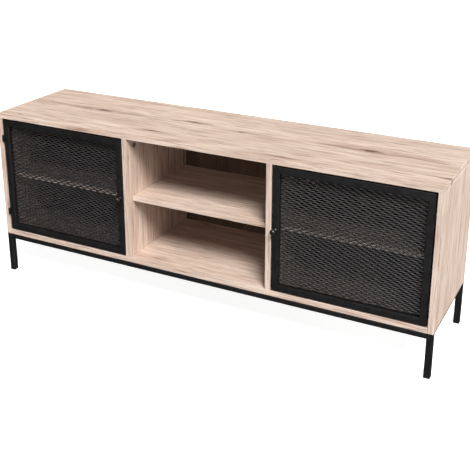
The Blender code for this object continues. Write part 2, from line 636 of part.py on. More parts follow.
def make_door(side, sign):
    """One door, parented to an empty on its hinge axis."""
    axis = bpy.data.objects.new(f"{side}_door_axis", None)
    axis.location = (sign * AXIS_X, AXIS_Y, DOOR_MID)
    PARTS.objects.link(axis)
    tube_y = FRONT + DOOR_TUBE_DEPTH / 2
    hinge_edge = DOOR_FREE_EDGE + DOOR_WIDTH
    middle_x = sign * (DOOR_FREE_EDGE + DOOR_WIDTH / 2)
    inset = DOOR_FACE / 2
    turn = {"out": 0 if sign > 0 else math.pi, "in": math.pi if sign > 0 else 0}
    pieces = {}

    def stile(name, x, rotation):
        mesh = tube_mesh(DOOR_FACE, DOOR_TUBE_DEPTH, DOOR_WALL, DOOR_HEIGHT, mitred=True)
        pieces[name] = link(f"{side}_door_{name}", mesh, BLACK_STEEL,
                            (sign * x, tube_y, DOOR_MID), (0, 0, rotation))

    def rail(name, z, rotation):
        mesh = tube_mesh(DOOR_FACE, DOOR_TUBE_DEPTH, DOOR_WALL, DOOR_WIDTH, mitred=True)
        pieces[name] = link(f"{side}_door_{name}", mesh, BLACK_STEEL,
                            (middle_x, tube_y, z), (0, rotation, 0))

    stile("hinge_stile", hinge_edge - inset, turn["out"])
    stile("free_stile", DOOR_FREE_EDGE + inset, turn["in"])
    rail("top_rail", DOOR_TOP - inset, -math.pi / 2)
    rail("bottom_rail", DOOR_BOTTOM + inset, math.pi / 2)

    border = DOOR_FACE - MESH_OVERLAP
    sheet = box_mesh((DOOR_WIDTH - 2 * border, MESH_SHEET, DOOR_HEIGHT - 2 * border))
    sheet_y = FRONT + DOOR_TUBE_DEPTH + GAP + MESH_SHEET / 2
    pieces["mesh"] = link(f"{side}_door_mesh", sheet, BLACK_STEEL,
                          (middle_x, sheet_y, DOOR_MID))

    knob_at = (sign * (DOOR_FREE_EDGE + inset), FRONT, DOOR_MID)
    facing = (math.pi / 2, 0, 0)
    pieces["knob"] = link(f"{side}_knob", knob_mesh(), BLACK_STEEL, knob_at, facing)
    pieces["screw"] = link(f"{side}_knob_screw", knob_screw_mesh(), ZINC, knob_at, facing)
    drill(pieces["knob"], "thread", [knob_at], (0, -1, 0), KNOB_THREAD_RADIUS,
          KNOB_THREAD_DEPTH)
    drill(pieces["free_stile"], "screw_hole", [knob_at], (0, 1, 0), KNOB_THREAD_RADIUS,
          DOOR_TUBE_DEPTH + OVERSHOOT)

    leaf = leaf_mesh(-sign, (0,))
    for level, z in HINGE_HEIGHTS.items():
        pieces[level] = place(f"{side}_{level}_door_leaf", leaf, BLACK_STEEL,
                              Matrix.Translation((sign * AXIS_X, AXIS_Y, z)))
    for piece in pieces.values():
        piece.parent = axis
        piece.matrix_parent_inverse = Matrix.Translation(-axis.location)


# ---------------------------------------------------------------- magnetic catches
def make_catch(side, sign, top):
    """A magnetic catch under the top, meeting the back of the door's top rail."""
    front = FRONT + DOOR_TUBE_DEPTH + GAP
    middle = Vector((sign * (BAY_FACE + CATCH_FROM_DIVIDER),
                     front + CATCH_REACH + CATCH_BODY.y / 2,
                     CEILING - GAP - CATCH_BODY.z / 2))
    body = link(f"{side}_catch_body", box_mesh(CATCH_BODY), BLACK_PLASTIC, middle)
    bevel = body.modifiers.new("soft_edges", "BEVEL")
    bevel.width = CATCH_EASE
    bevel.segments = 2
    magnet_at = Vector((middle.x, front + CATCH_MAGNET.y / 2, middle.z))
    pocket = CATCH_MAGNET + Vector((2 * GAP, 2 * GAP, 2 * GAP))
    subtract(body, box_mesh(pocket, magnet_at), "pocket")
    link(f"{side}_catch_magnet", box_mesh(CATCH_MAGNET), FERRITE, magnet_at)
    spots = [(middle.x + way * CATCH_SCREW_STEP, middle.y) for way in (-1, 1)]
    drill(body, "screw_holes", [(*spot, CEILING - GAP - CATCH_BODY.z) for spot in spots], UP,
          CATCH_SCREW_BORE, CATCH_BODY.z + OVERSHOOT, 10)
    drill(top, f"{side}_catch_screws", [(*spot, CEILING) for spot in spots], UP,
          CATCH_SCREW_BORE, CATCH_SCREW_DEPTH, 10)


# ---------------------------------------------------------------- assembly
def main():
    boards = make_boards()
    make_carcass_joints(boards)
    make_shelf_pins(boards)
    drill_nail_holes(boards)
    make_base(boards["bottom_panel"])
    for side, sign in SIDES.items():
        make_hinges(side, sign, boards[f"{side}_side_panel"])
        make_door(side, sign)
        make_catch(side, sign, boards["top_panel"])


main()
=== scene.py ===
"""Looks of a tv stand with two mesh doors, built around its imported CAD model.

Metres, +Z up, the front faces -Y. Boards and steel stay as the CAD made them and get their
finishes here. The expanded mesh, the magnets and the fixings inside the joints are new.
"""

import json
import math

import bpy
import numpy as np
from mathutils import Matrix, Vector


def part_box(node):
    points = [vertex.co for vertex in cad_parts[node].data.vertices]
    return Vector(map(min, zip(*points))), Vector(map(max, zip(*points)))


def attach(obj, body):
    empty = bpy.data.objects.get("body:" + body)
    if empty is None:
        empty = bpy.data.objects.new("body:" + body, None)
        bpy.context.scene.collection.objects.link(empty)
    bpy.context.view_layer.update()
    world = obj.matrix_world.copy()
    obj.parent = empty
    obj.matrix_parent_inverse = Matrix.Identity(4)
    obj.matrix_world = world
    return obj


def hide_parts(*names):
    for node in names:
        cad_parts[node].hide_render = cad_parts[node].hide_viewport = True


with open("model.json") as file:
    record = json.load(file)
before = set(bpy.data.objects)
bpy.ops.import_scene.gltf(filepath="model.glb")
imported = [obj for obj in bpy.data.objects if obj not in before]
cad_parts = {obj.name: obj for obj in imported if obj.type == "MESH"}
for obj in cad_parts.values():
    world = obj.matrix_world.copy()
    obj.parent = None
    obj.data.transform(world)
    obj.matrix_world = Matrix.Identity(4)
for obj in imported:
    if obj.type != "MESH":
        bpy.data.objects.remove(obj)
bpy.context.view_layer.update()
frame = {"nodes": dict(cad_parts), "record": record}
SIDES = {"left": -1, "right": 1}

# ---------------------------------------------------------------- places taken from the CAD
TOP_LOW, TOP_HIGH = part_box("top_panel")
FRONT, BACK, CEILING = TOP_LOW.y, TOP_HIGH.y, TOP_LOW.z
UNDERSIDE, FLOOR_OF_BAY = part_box("bottom_panel")[0].z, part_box("bottom_panel")[1].z
SIDE_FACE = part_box("right_side_panel")[0].x
BOARD = TOP_HIGH.z - TOP_LOW.z
NICHE_FACE, BAY_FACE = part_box("right_divider")[0].x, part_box("right_divider")[1].x
DIVIDER_X = (NICHE_FACE + BAY_FACE) / 2
BAY_PITCH = 2 * DIVIDER_X
BACK_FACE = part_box("back_panel")[1].y

# ---------------------------------------------------------------- sizes of the new pieces
LONG_WAY = 0.0245             # one mesh opening, bond to bond, along X
SHORT_WAY = 0.0121            # one mesh opening along Z
STRAND_WIDTH = 0.0035
STRAND_THICKNESS = 0.0010
STRAND_TILT = math.radians(20)
BOND = 0.0034                 # length over which neighbouring strands stay joined

CAM_SETBACK = 0.0285
CAM_RADIUS = 0.0072
CAM_DEPTH = 0.0118
FIXING_ROWS = (FRONT + 0.041, BACK - 0.045)
DOWEL_ROWS = (FRONT + 0.073, BACK - 0.077)
SHELF_PIN_ROWS = (FRONT + 0.072, BACK - 0.040)
HINGE_SCREW_STEP = 0.0055
RAIL_SCREWS_X = (-0.46, 0.0, 0.46)
CATCH_SCREW_STEP = 0.0175
CLEAR = 0.0003
POLE_THICKNESS = 0.0011
POLE_GAP = 0.0001             # air between a pole plate and the magnet
BOLT_TURNS, BOLT_PITCH = 6, 0.0017
BOLT_CORE, BOLT_CREST = 0.0024, 0.0030
DOWEL_RADIUS, FLUTES, FLUTE_DEPTH, DOWEL_CHAMFER = 0.00385, 12, 0.00012, 0.0010
SHELF_PIN_SUNK, SHELF_PIN_EASE = 0.0062, 0.0008
HINGE_SCREW_Y = FRONT + 0.008
HINGE_LEAF = 0.0010
RAIL_WALL_SEAT = 0.0043       # rail's top down to the head of its screw
SHARP_EDGE = math.radians(35)


# ---------------------------------------------------------------- surfaces
def solid(name, rings, body, material, replaces=()):
    """A closed piece skinned over rings of points.

    rings[c, i, j] is point j round ring i of copy c. Quads join neighbouring rings and one
    face fills each copy's first and last ring.
    """
    rings = np.asarray(rings, float)
    rings = rings.reshape((-1, *rings.shape[-3:]))
    index = np.arange(rings[..., 0].size).reshape(rings.shape[:3])
    around = np.roll(index, -1, axis=2)
    quads = np.stack([index[:, :-1], around[:, :-1], around[:, 1:], index[:, 1:]], axis=-1)
    caps = np.concatenate([index[:, 0, ::-1], index[:, -1]])
    mesh = bpy.data.meshes.new(name)
    mesh.from_pydata(rings.reshape(-1, 3).tolist(), [],
                     quads.reshape(-1, 4).tolist() + caps.tolist())
    mesh.shade_smooth()
    mesh.set_sharp_from_angle(angle=SHARP_EDGE)
    mesh.materials.append(material)
    piece = bpy.data.objects.new(name, mesh)
    bpy.context.scene.collection.objects.link(piece)
    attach(piece, body)
    if replaces:
        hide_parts(*replaces)
    return piece


def circle_angles(count=24):
    """Evenly spaced angles once round."""
    return np.arange(count) * 2 * math.pi / count


def cross_radius(angles, reach, half_width):
    """Distance to the edge of a cross recess: reach / cos or half_width / sin of the angle
    from the nearest arm, whichever is nearer."""
    off_arm = (angles + math.pi / 4) % (math.pi / 2) - math.pi / 4
    return np.minimum(reach / np.cos(off_arm), half_width / np.maximum(abs(np.sin(off_arm)), 1e-6))


def turned(profile, start, along, angles=None):
    """Rings of a turned piece: circles of radius r at distance d along its axis.

    profile lists (d, r); r may be an array with one radius for each angle.
    """
    angles = circle_angles() if angles is None else angles
    axis = Vector(along).normalized()
    across = Vector((0, 0, 1)) if abs(axis.z) < 0.9 else Vector((1, 0, 0))
    first = axis.cross(across).normalized()
    second = axis.cross(first)
    around = np.cos(angles)[:, None] * np.array(first) + np.sin(angles)[:, None] * np.array(second)
    rings = [np.array(start) + d * np.array(axis) + np.reshape(r, (-1, 1)) * around
             for d, r in profile]
    return np.array(rings)


def crossed(profile, reach, half_width, depth):
    """A profile whose first circle is filled by a flat head with a cross recess."""
    angles = np.sort(np.concatenate([circle_angles(), *[
        quarter + np.array([-1, 1]) * math.atan2(half_width, reach)
        for quarter in np.arange(4) * math.pi / 2]]) % (2 * math.pi))
    cross = cross_radius(angles, reach, half_width)
    head = profile[0][0]
    return [(head + depth, cross), (head, cross), *profile], angles


def block(low, high, ease):
    """Rings of a box with eased edges: chamfered rectangles stacked along X."""
    low, high = np.array(low, float), np.array(high, float)
    corners = np.array([[-1, -1], [1, -1], [1, 1], [-1, 1]])
    middle, half = (low + high)[1:] / 2, (high - low)[1:] / 2

    def section(inset):
        points = []
        for y, z in corners:
            cuts = [(0, z * ease), (y * ease, 0)] if y * z < 0 else [(y * ease, 0), (0, z * ease)]
            points += [(y * (half[0] - inset) - cut[0], z * (half[1] - inset) - cut[1])
                       for cut in cuts]
        return np.array(points) + middle

    rings = []
    for x, inset in ((low[0], ease), (low[0] + ease, 0), (high[0] - ease, 0), (high[0], ease)):
        rings.append(np.column_stack([np.full(8, x), section(inset)]))
    return np.array(rings)


def mesh_strands(low, high):
    """Rings of every strand of an expanded sheet that fills low to high.

    Strand k runs along X at height k half openings. Its middle rises and falls as a wave
    with flat tops, leans back as it rises, and meets the next strand at each top.
    """
    half_opening = SHORT_WAY / 2
    upright = (STRAND_WIDTH * math.cos(STRAND_TILT) + STRAND_THICKNESS * math.sin(STRAND_TILT))
    rise = (half_opening - upright) / 2
    lean = -rise / (half_opening - upright) * STRAND_WIDTH * math.sin(STRAND_TILT)
    count = int((high.z - low.z - upright) / half_opening)
    bends = int((high.x - low.x) / (LONG_WAY / 2))
    step = LONG_WAY / 2
    first = (low.x + high.x) / 2 - bends * step / 2
    along = first + np.arange(bends + 1)[:, None] * step + np.array([-1, 1]) * BOND / 2
    x = np.clip(along.ravel(), low.x, high.x)
    level = np.repeat((-1.0) ** np.arange(bends + 1), 2)
    wave = level[None, :] * ((-1.0) ** np.arange(count))[:, None]
    bottom = (low.z + high.z - (count - 1) * half_opening) / 2
    z = bottom + np.arange(count)[:, None] * half_opening + rise * wave
    depth = 2 * abs(lean) + STRAND_WIDTH * math.sin(STRAND_TILT) + STRAND_THICKNESS
    y = low.y + depth / 2 + lean * wave
    width, thick, ease = STRAND_WIDTH / 2, STRAND_THICKNESS / 2, STRAND_THICKNESS / 5
    flat = np.array([(width - ease, -thick), (width, ease - thick), (width, thick - ease),
                     (width - ease, thick), (ease - width, thick), (-width, thick - ease),
                     (-width, ease - thick), (ease - width, -thick)])
    turn = np.array([[math.sin(STRAND_TILT), math.cos(STRAND_TILT)],
                     [math.cos(STRAND_TILT), -math.sin(STRAND_TILT)]])
    section = flat @ turn
    rings = np.empty((count, len(x), len(section), 3))
    rings[..., 0] = x[None, :, None]
    rings[..., 1] = y[..., None] + section[:, 0]
    rings[..., 2] = z[..., None] + section[:, 1]
    return rings


# ---------------------------------------------------------------- node wiring
class Finish:
    """A material and short ways to wire its nodes."""

    def __init__(self, name, **constants):
        self.material = bpy.data.materials.new(name)
        self.material.use_nodes = True
        self.tree = self.material.node_tree
        self.shader = self.tree.nodes["Principled BSDF"]
        self.place = self.tree.nodes.new("ShaderNodeTexCoord").outputs["Object"]
        for socket, value in constants.items():
            self.shader.inputs[socket.replace("_", " ")].default_value = value

    def add(self, kind, *values, out=0, **settings):
        """A node with its settings and its first inputs, as sockets or numbers."""
        node = self.tree.nodes.new(kind)
        for name, value in settings.items():
            setattr(node, name, value)
        for socket, value in zip(node.inputs, values):
            self.put(socket, value)
        return node.outputs[out]

    def put(self, socket, value):
        if isinstance(value, bpy.types.NodeSocket):
            self.tree.links.new(value, socket)
        elif value is not None:
            socket.default_value = value

    def math(self, operation, *values):
        return self.add("ShaderNodeMath", *values, operation=operation)

    def total(self, *values):
        result = values[0]
        for value in values[1:]:
            result = self.math("ADD", result, value)
        return result

    def scaled(self, vector, factors):
        return self.add("ShaderNodeVectorMath", vector, factors, operation="MULTIPLY")

    def noise(self, vector, scale, detail=3.0, roughness=0.5, distortion=0.0):
        node = self.tree.nodes.new("ShaderNodeTexNoise")
        for name, value in (("Vector", vector), ("Scale", scale), ("Detail", detail),
                            ("Roughness", roughness), ("Distortion", distortion)):
            self.put(node.inputs[name], value)
        return node.outputs[0]

    def span(self, value, low, high, to_low=0.0, to_high=1.0):
        """Value from low to high becomes to_low to to_high, with soft ends."""
        return self.add("ShaderNodeMapRange", value, low, high, to_low, to_high,
                        interpolation_type="SMOOTHSTEP")

    def mix(self, share, first, second):
        node = self.tree.nodes.new("ShaderNodeMix")
        node.data_type = "RGBA"
        for socket, value in ((node.inputs[0], share), (node.inputs[6], first),
                              (node.inputs[7], second)):
            self.put(socket, (*value, 1) if isinstance(value, tuple) else value)
        return node.outputs[2]

    def done(self, colour=None, roughness=None, height=None, depth=0.0002, strength=0.5):
        """Wires the finished colour, roughness and relief into the shader."""
        if colour is not None:
            self.put(self.shader.inputs["Base Color"], colour)
        if roughness is not None:
            self.put(self.shader.inputs["Roughness"], roughness)
        if height is not None:
            node = self.tree.nodes.new("ShaderNodeBump")
            node.inputs["Strength"].default_value = strength
            node.inputs["Distance"].default_value = depth
            self.put(node.inputs["Height"], height)
            self.put(self.shader.inputs["Normal"], node.outputs[0])
        return self.material


# ---------------------------------------------------------------- finishes
OAK_PALE = (0.73, 0.590, 0.500)
OAK_DEEP = (0.60, 0.450, 0.365)
OAK_GREY = (0.54, 0.415, 0.345)
OAK_LINE = (0.23, 0.135, 0.100)
OAK_KNOT = (0.050, 0.022, 0.013)
CHIP = (0.50, 0.37, 0.24)
DECOR_REPEAT = 0.868          # length of the printed oak pattern

# Knots of the printed pattern on the top: along X, across Y, size
TOP_KNOTS = ((-0.422, 0.019, 0.0150), (-0.176, -0.095, 0.0060), (-0.106, 0.034, 0.0070),
             (0.062, 0.011, 0.0065), (-0.626, -0.136, 0.0060))


def oak(name, grain, start, knots=(), raw_end=None):
    """Oak-effect board: fibres, bands and streaks along the grain, bent round its knots.

    grain is 0 for boards that run along X and 2 for uprights. start moves the pattern so no
    two boards match. Each knot is (along the grain, across it, size).
    """
    f = Finish(name, IOR=1.40)
    split = f.tree.nodes.new("ShaderNodeSeparateXYZ")
    f.put(split.inputs[0], f.place)
    along, across, thick = (split.outputs[i] for i in ((0, 1, 2) if grain == 0 else (2, 1, 0)))
    bent, knot_dark, streak_dark = across, 0.0, 0.0
    for knot_along, knot_across, size in knots:
        da = f.math("SUBTRACT", along, knot_along)
        dc = f.math("SUBTRACT", across, knot_across)

        def bell(reach_along, reach_across):
            """Falls from 1 at the knot to 0, as e to the minus distance squared."""
            terms = [f.math("POWER", f.math("ABSOLUTE", f.math("DIVIDE", d, reach)), 2.0)
                     for d, reach in ((da, reach_along), (dc, reach_across))]
            return f.math("EXPONENT", f.math("MULTIPLY", f.total(*terms), -1.0))

        push = f.math("MULTIPLY", f.math("TANH", f.math("DIVIDE", dc, size)), size * 1.4)
        bent = f.math("SUBTRACT", bent, f.math("MULTIPLY", push, bell(4.5 * size, 2.6 * size)))
        knot_dark = f.total(knot_dark, bell(1.7 * size, 0.60 * size))
        streak_dark = f.total(streak_dark, bell(11 * size, 0.90 * size))

    point = f.tree.nodes.new("ShaderNodeCombineXYZ")
    for socket, value, offset in zip(point.inputs, (along, bent, thick), start):
        f.put(socket, f.math("ADD", value, offset))
    at = point.outputs[0]
    bands = f.noise(f.scaled(at, (3.2, 46.0, 46.0)), 1.0, 2.0, 0.6, 0.45)
    drift = f.noise(f.scaled(at, (1.3, 9.0, 9.0)), 1.0, 2.0, 0.5)
    streaks = f.noise(f.scaled(at, (7.0, 105.0, 105.0)), 1.0, 3.0, 0.6, 0.5)
    lines = f.noise(f.scaled(at, (9.0, 190.0, 190.0)), 1.0, 3.0, 0.6, 0.25)
    fibres = f.noise(f.scaled(at, (11.0, 420.0, 420.0)), 1.0, 3.0, 0.6)
    pores = f.noise(f.scaled(at, (45.0, 1100.0, 1100.0)), 1.0, 1.0, 0.5)

    colour = f.mix(f.span(bands, 0.44, 0.64), OAK_PALE, OAK_DEEP)
    colour = f.mix(f.span(drift, 0.42, 0.68, 0.0, 0.45), colour, OAK_GREY)
    colour = f.mix(f.span(streaks, 0.55, 0.72, 0.0, 0.50), colour, OAK_LINE)
    colour = f.mix(f.span(lines, 0.52, 0.72, 0.0, 0.72), colour, OAK_LINE)
    colour = f.mix(f.span(lines, 0.46, 0.26, 0.0, 0.35), colour, OAK_PALE)
    colour = f.mix(f.span(fibres, 0.45, 0.75, 0.0, 0.50), colour, OAK_LINE)
    colour = f.mix(f.span(pores, 0.64, 0.80, 0.0, 0.26), colour, OAK_LINE)
    if knots:
        ragged = f.span(f.noise(f.scaled(at, (55.0, 260.0, 260.0)), 1.0, 3.0, 0.6), 0.30, 0.62,
                        0.25, 1.0)
        tails = f.math("MULTIPLY", streak_dark, f.span(streaks, 0.36, 0.60, 0.25, 0.95))
        colour = f.mix(f.math("MINIMUM", tails, 0.85), colour, OAK_LINE)
        colour = f.mix(f.math("MINIMUM", f.math("MULTIPLY", knot_dark, ragged), 0.93), colour,
                       OAK_KNOT)
    if raw_end is not None:
        colour = f.mix(facing(f, raw_end), colour, chipboard(f))
    relief = f.total(f.math("MULTIPLY", fibres, 0.5), f.math("MULTIPLY", pores, -0.5),
                     f.math("MULTIPLY", lines, -0.4))
    return f.done(colour, f.span(fibres, 0.3, 0.7, 0.50, 0.62), relief, 0.00012, 0.35)


def facing(f, way):
    """1 on faces that point along way, 0 elsewhere."""
    normal = f.add("ShaderNodeTexCoord", out=1)
    towards = f.add("ShaderNodeVectorMath", normal, way, out=1, operation="DOT_PRODUCT")
    return f.span(towards, 0.7, 0.9)


def chipboard(f):
    """Colour of a raw chipboard edge: pressed flakes in a few tones."""
    flakes = f.tree.nodes.new("ShaderNodeTexVoronoi")
    f.put(flakes.inputs["Vector"], f.scaled(f.place, (1.0, 1.0, 2.2)))
    flakes.inputs["Scale"].default_value = 420.0
    tone = f.noise(f.place, 900.0, 2.0, 0.6)
    colour = f.mix(f.span(flakes.outputs["Distance"], 0.1, 0.9), CHIP, (0.62, 0.50, 0.36))
    return f.mix(f.span(tone, 0.55, 0.75, 0.0, 0.7), colour, (0.24, 0.15, 0.08))


def back_sheet():
    """Back panel: an oak print inside, its colour darkened to near black as painted shade, and raw
    brown hardboard outside.
    """
    f = Finish("back_sheet", IOR=1.2)
    bands = f.noise(f.scaled(f.place, (20.0, 20.0, 1.8)), 1.0, 3.0, 0.55, 0.3)
    lines = f.noise(f.scaled(f.place, (110.0, 110.0, 4.0)), 1.0, 3.0, 0.6)
    # Painted shade: the inside print's tones are near black to stand for the dim, unlit back of
    # the niche, not the sheet's own colour.
    print_darkened_as_shade = f.mix(f.span(bands, 0.36, 0.66), (0.056, 0.032, 0.020), (0.032, 0.018, 0.011))
    print_darkened_as_shade = f.mix(f.span(lines, 0.52, 0.75, 0.0, 0.6), print_darkened_as_shade, (0.018, 0.009, 0.006))
    fluff = f.noise(f.place, 260.0, 5.0, 0.7, 0.6)
    cloud = f.noise(f.place, 22.0, 3.0, 0.5)
    raw = f.mix(f.span(fluff, 0.38, 0.66), (0.155, 0.092, 0.050), (0.245, 0.155, 0.090))
    raw = f.mix(f.span(cloud, 0.40, 0.70, 0.0, 0.35), raw, (0.115, 0.066, 0.036))
    inside = facing(f, (0, -1, 0))
    relief = f.mix(inside, fluff, lines)
    return f.done(f.mix(inside, raw, print_darkened_as_shade), f.span(fluff, 0.3, 0.7, 0.62, 0.74), relief,
                  0.00015, 0.3)


def powder_coat(name, colour, gloss):
    """Baked powder coat: fine orange peel, faint mottling and dust of a paler tone."""
    f = Finish(name, IOR=1.5)
    peel = f.noise(f.place, 900.0, 2.0, 0.55)
    mottle = f.noise(f.place, 60.0, 3.0, 0.6)
    dust = f.noise(f.place, 2600.0, 1.0, 0.5)
    paler = tuple(1.7 * c + 0.003 for c in colour)
    shade = f.mix(f.span(mottle, 0.35, 0.70, 0.0, 0.5), colour, paler)
    shade = f.mix(f.span(dust, 0.62, 0.80, 0.0, 0.5), shade, paler)
    return f.done(shade, f.span(mottle, 0.3, 0.7, gloss - 0.04, gloss + 0.05), peel, 0.0001, 0.28)


def metal(name, colour, gloss, tint):
    """Bare or plated metal with turning marks, cloudy plating and small scratches."""
    f = Finish(name, Metallic=1.0)
    cloud = f.noise(f.place, 180.0, 3.0, 0.6)
    marks = f.noise(f.scaled(f.place, (300.0, 300.0, 4200.0)), 1.0, 2.0, 0.6)
    shade = f.mix(f.span(cloud, 0.38, 0.68, 0.0, 0.8), colour, tint)
    return f.done(shade, f.span(marks, 0.3, 0.7, gloss - 0.08, gloss + 0.10), marks, 0.00004, 0.3)


def moulded(name, colour, gloss, grain=1500.0):
    """Moulded plastic or sintered magnet: fine grained skin with faint flow clouds."""
    f = Finish(name, IOR=1.46)
    skin = f.noise(f.place, grain, 2.0, 0.6)
    cloud = f.noise(f.place, 140.0, 3.0, 0.5)
    paler = tuple(1.7 * c + 0.004 for c in colour)
    shade = f.mix(f.span(cloud, 0.35, 0.7, 0.0, 0.7), colour, paler)
    return f.done(shade, f.span(skin, 0.3, 0.7, gloss - 0.06, gloss + 0.06), skin, 0.00006, 0.35)


def beech():
    """Beech dowel: pale wood with short dark flecks along each axis."""
    f = Finish("beech_dowel", IOR=1.45)
    flecks = f.noise(f.scaled(f.place, (500.0, 1300.0, 300.0)), 1.0, 2.0, 0.6)
    shade = f.mix(f.span(flecks, 0.5, 0.75, 0.0, 0.8), (0.62, 0.42, 0.25), (0.33, 0.18, 0.09))
    return f.done(shade, f.span(flecks, 0.3, 0.7, 0.5, 0.62), flecks, 0.0001, 0.3)


def pale_floor():
    """Matt studio floor with the faintest unevenness."""
    f = Finish("studio_floor", Emission_Color=(1, 1, 1, 1), Emission_Strength=0.80)
    soft = f.noise(f.place, 3.0, 2.0, 0.5)
    return f.done(f.mix(soft, (0.86, 0.86, 0.86), (0.88, 0.88, 0.88)),
                  f.span(soft, 0.3, 0.7, 0.80, 0.86))


def repeated(knots):
    """The knots at every repeat of the printed pattern that falls on the top."""
    return tuple((along + n * DECOR_REPEAT, across, size)
                 for along, across, size in knots for n in (0, 1)
                 if abs(along + n * DECOR_REPEAT) < TOP_HIGH.x + 0.02)


BLACK = powder_coat("black_powder_coat", (0.0035, 0.0034, 0.0038), 0.42)
MESH_BLACK = powder_coat("black_mesh_coat", (0.0090, 0.0088, 0.0100), 0.46)
KNOB = powder_coat("black_knob", (0.010, 0.0095, 0.0090), 0.26)
ZINC = metal("zinc_plate", (0.28, 0.28, 0.29), 0.42, (0.20, 0.195, 0.19))
STEEL = metal("bright_steel", (0.52, 0.52, 0.53), 0.28, (0.40, 0.40, 0.41))
PLASTIC = moulded("black_plastic", (0.013, 0.013, 0.013), 0.44)
FERRITE = moulded("ferrite", (0.040, 0.040, 0.042), 0.58, 2400.0)
BEECH = beech()
BACK_LOOK = back_sheet()

BOARD_LOOKS = {
    "top_panel": oak("oak_top", 0, (0.0, 0.0, 0.0), repeated(TOP_KNOTS)),
    "bottom_panel": oak("oak_bottom", 0, (3.1, 1.7, 0.4), ((0.30, -0.02, 0.006),)),
    "middle_shelf": oak("oak_middle_shelf", 0, (7.3, 4.1, 0.9)),
    "left_shelf": oak("oak_left_shelf", 0, (11.9, 2.6, 1.3), ((-0.40, 0.05, 0.005),)),
    "right_shelf": oak("oak_right_shelf", 0, (16.2, 5.8, 1.9)),
    "left_side_panel": oak("oak_left_side", 2, (21.7, 8.3, 2.1), ((0.36, -0.03, 0.007),),
                           raw_end=(0, 0, -1)),
    "right_side_panel": oak("oak_right_side", 2, (26.4, 9.9, 2.7), raw_end=(0, 0, -1)),
    "left_divider": oak("oak_left_divider", 2, (31.8, 12.2, 3.3),
                        ((0.222, -0.024, 0.0036), (0.462, -0.152, 0.0030))),
    "right_divider": oak("oak_right_divider", 2, (37.3, 14.6, 3.8), ((0.29, 0.04, 0.005),)),
}
SLOT_LOOKS = {"black_steel": BLACK, "mesh_steel": MESH_BLACK, "knob_metal": KNOB,
              "zinc": ZINC, "black_plastic": PLASTIC, "magnet": FERRITE, "back_sheet": BACK_LOOK}


def finish_cad_nodes():
    """Gives each CAD node the finish of its board, or of its slot in the record."""
    slots = {part["node"]: part["material_slot"] for part in frame["record"]["subparts"]}
    for name, node in frame["nodes"].items():
        look = BOARD_LOOKS.get(name) or SLOT_LOOKS[slots[name]]
        node.data.materials.clear()
        node.data.materials.append(look)


# ---------------------------------------------------------------- new pieces
def make_door_meshes():
    """Expanded steel behind each door frame, in place of the CAD's plain sheet."""
    for side in SIDES:
        sheet = f"{side}_door_mesh"
        solid(f"{side}_expanded_mesh", mesh_strands(*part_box(sheet)), f"{side}_door",
              MESH_BLACK, [sheet])


def make_catches():
    """Magnet and two pole plates in each catch, and the catch's two screws."""
    plate, ease = POLE_THICKNESS, 0.0002
    for side in SIDES:
        low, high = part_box(f"{side}_catch_magnet")
        solid(f"{side}_catch_core", block(low + Vector((0.0005, 0.0008, plate)),
              high - Vector((0.0005, 0, plate)), ease), "carcass", FERRITE,
              [f"{side}_catch_magnet"])
        for level, bottom in (("lower", low.z), ("upper", high.z - plate + POLE_GAP)):
            solid(f"{side}_catch_{level}_plate",
                  block((low.x, low.y, bottom), (high.x, high.y, bottom + plate - POLE_GAP),
                        ease), "carcass", ZINC)
        body_low, body_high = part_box(f"{side}_catch_body")
        middle = (body_low + body_high) / 2
        for number, way in enumerate((-1, 1), 1):
            start = (middle.x + way * CATCH_SCREW_STEP, middle.y, body_low.z - 0.0012)
            profile, angles = crossed([(0, 0.0020), (0.0006, 0.0026), (0.0011, 0.0026),
                                       (0.0011, 0.0014), (0.0185, 0.0012), (0.0205, 0.0003)],
                                      0.0013, 0.0003, 0.0007)
            solid(f"{side}_catch_screw_{number}", turned(profile, start, (0, 0, 1), angles),
                  "carcass", ZINC)


def cam(name, centre, outward):
    """A cam seen from outside: its face with a cross, its body sunk in the board."""
    rim, ease = CAM_RADIUS - CLEAR, 0.0004
    profile, angles = crossed([(0, rim - ease), (ease, rim), (CAM_DEPTH - CLEAR, rim)],
                              0.0040, 0.0006, 0.0016)
    start = Vector(centre) - Vector(outward) * CLEAR
    solid(name, turned(profile, start, -Vector(outward), angles), "carcass", ZINC)


def bolt(name, joint, way):
    """A cam's bolt: threads past the joint, then its shank back to a ball in the cam."""
    threads = []
    for turn in range(BOLT_TURNS):
        d = -0.0106 + turn * BOLT_PITCH
        threads += [(d, BOLT_CORE), (d + 0.0008, BOLT_CREST)]
    profile = [*threads, (0.0, BOLT_CREST), (0.0004, 0.0034), (0.0018, 0.0034), (0.0022, 0.0022),
               (0.0235, 0.0022), (0.0250, 0.0014), (0.0268, 0.0014), (0.0280, 0.0030),
               (0.0296, 0.0030), (0.0304, 0.0018)]
    solid(name, turned(profile, joint, -Vector(way), circle_angles(16)), "carcass", STEEL)


def dowel(name, joint, way, inside=0.0113, length=0.0290):
    """A fluted dowel: its radius ripples round the axis, with chamfered ends."""
    angles = circle_angles(48)
    flutes = DOWEL_RADIUS + FLUTE_DEPTH * np.cos(FLUTES * angles)
    ends = flutes - DOWEL_CHAMFER
    profile = [(-inside, ends), (DOWEL_CHAMFER - inside, flutes),
               (length - inside - DOWEL_CHAMFER, flutes), (length - inside, ends)]
    solid(name, turned(profile, joint, -Vector(way), angles), "carcass", BEECH)


def make_upright_joints():
    """Bolts and dowels up into the top, and the side panels' cams."""
    for side, sign in SIDES.items():
        uprights = (("side", SIDE_FACE, SIDE_FACE + BOARD / 2), ("divider", None, DIVIDER_X))
        for upright, face, middle in uprights:
            for row, y, dowel_y in zip(("front", "back"), FIXING_ROWS, DOWEL_ROWS):
                label = f"{side}_{upright}_{row}"
                bolt(f"{label}_bolt", (sign * middle, y, CEILING), (0, 0, 1))
                dowel(f"{label}_dowel", (sign * middle, dowel_y, CEILING), (0, 0, 1))
                if face:
                    cam(f"{label}_cam", (sign * face, y, CEILING - CAM_SETBACK), (-sign, 0, 0))


